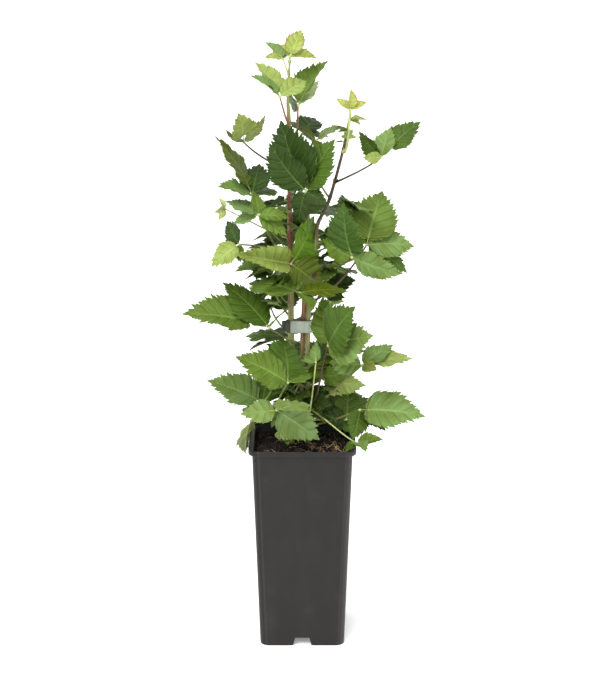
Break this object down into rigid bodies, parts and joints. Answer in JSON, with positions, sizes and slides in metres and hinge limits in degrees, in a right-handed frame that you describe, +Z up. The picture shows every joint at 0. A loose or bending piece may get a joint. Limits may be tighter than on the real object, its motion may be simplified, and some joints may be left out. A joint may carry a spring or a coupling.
{
  "type": "potted bramble bush",
  "caption": "Young bramble bush with tied upright canes and toothed compound leaves, growing in a tall square pot.",
  "frame": {"origin": "on the ground under the middle of the pot, at its centre foot", "axes": "+Z up along the canes, -Y is the front that the picture shows, +X is that view's right"},
  "size_m": [0.2546, 0.2115, 0.6592],
  "materials": {
    "pot_plastic": "dark grey moulded plastic, satin",
    "compost": "dark moist compost with tan fibres",
    "cane_bark": "green to red-brown young bark with small thorns",
    "tie_tape": "plain light grey tape",
    "mature_leaf": "green pleated leaf, satin",
    "rear_leaf": "green pleated leaf, satin",
    "young_leaf": "pale yellow-green young leaf, satin"
  },
  "bodies": {
    "root": {"cane_a": "cane_bark", "cane_b": "cane_bark", "cane_c": "cane_bark", "leaf_a1": "young_leaf", "leaf_a10": "mature_leaf", "leaf_a11": "mature_leaf", "leaf_a12": "mature_leaf", "leaf_a13": "mature_leaf", "leaf_a2": "young_leaf", "leaf_a3": "young_leaf", "leaf_a4": "mature_leaf", "leaf_a5": "mature_leaf", "leaf_a6": "mature_leaf", "leaf_a7": "mature_leaf", "leaf_a8": "young_leaf", "leaf_a9": "mature_leaf", "leaf_b1": "mature_leaf", "leaf_b2": "mature_leaf", "leaf_b3": "mature_leaf", "leaf_b4": "mature_leaf", "leaf_b5": "young_leaf", "leaf_b6": "mature_leaf", "leaf_b7": "young_leaf", "leaf_b8": "mature_leaf", "leaf_c1": "young_leaf", "leaf_c10": "mature_leaf", "leaf_c11": "young_leaf", "leaf_c2": "mature_leaf", "leaf_c3": "mature_leaf", "leaf_c4": "mature_leaf", "leaf_c5": "mature_leaf", "leaf_c6": "mature_leaf", "leaf_c7": "mature_leaf", "leaf_c8": "mature_leaf", "leaf_c9": "mature_leaf", "leaf_rear_01": "rear_leaf", "leaf_rear_02": "rear_leaf", "leaf_rear_03": "rear_leaf", "leaf_rear_04": "rear_leaf", "leaf_rear_05": "rear_leaf", "leaf_rear_06": "rear_leaf", "leaf_rear_07": "rear_leaf", "leaf_rear_08": "rear_leaf", "leaf_rear_09": "rear_leaf", "leaf_rear_10": "rear_leaf", "leaf_rear_11": "rear_leaf", "leaf_rear_12": "rear_leaf", "leaf_rear_13": "rear_leaf", "leaf_rear_14": "rear_leaf", "leaf_rear_15": "rear_leaf", "leaf_rear_16": "rear_leaf", "leaf_rear_17": "rear_leaf", "leaf_rear_18": "rear_leaf", "leaf_rear_19": "rear_leaf", "leaf_rear_20": "rear_leaf", "leaf_rear_21": "rear_leaf", "leaf_rear_22": "rear_leaf", "pot": "pot_plastic", "soil": "compost", "tie": "tie_tape"}
  },
  "joints": []
}
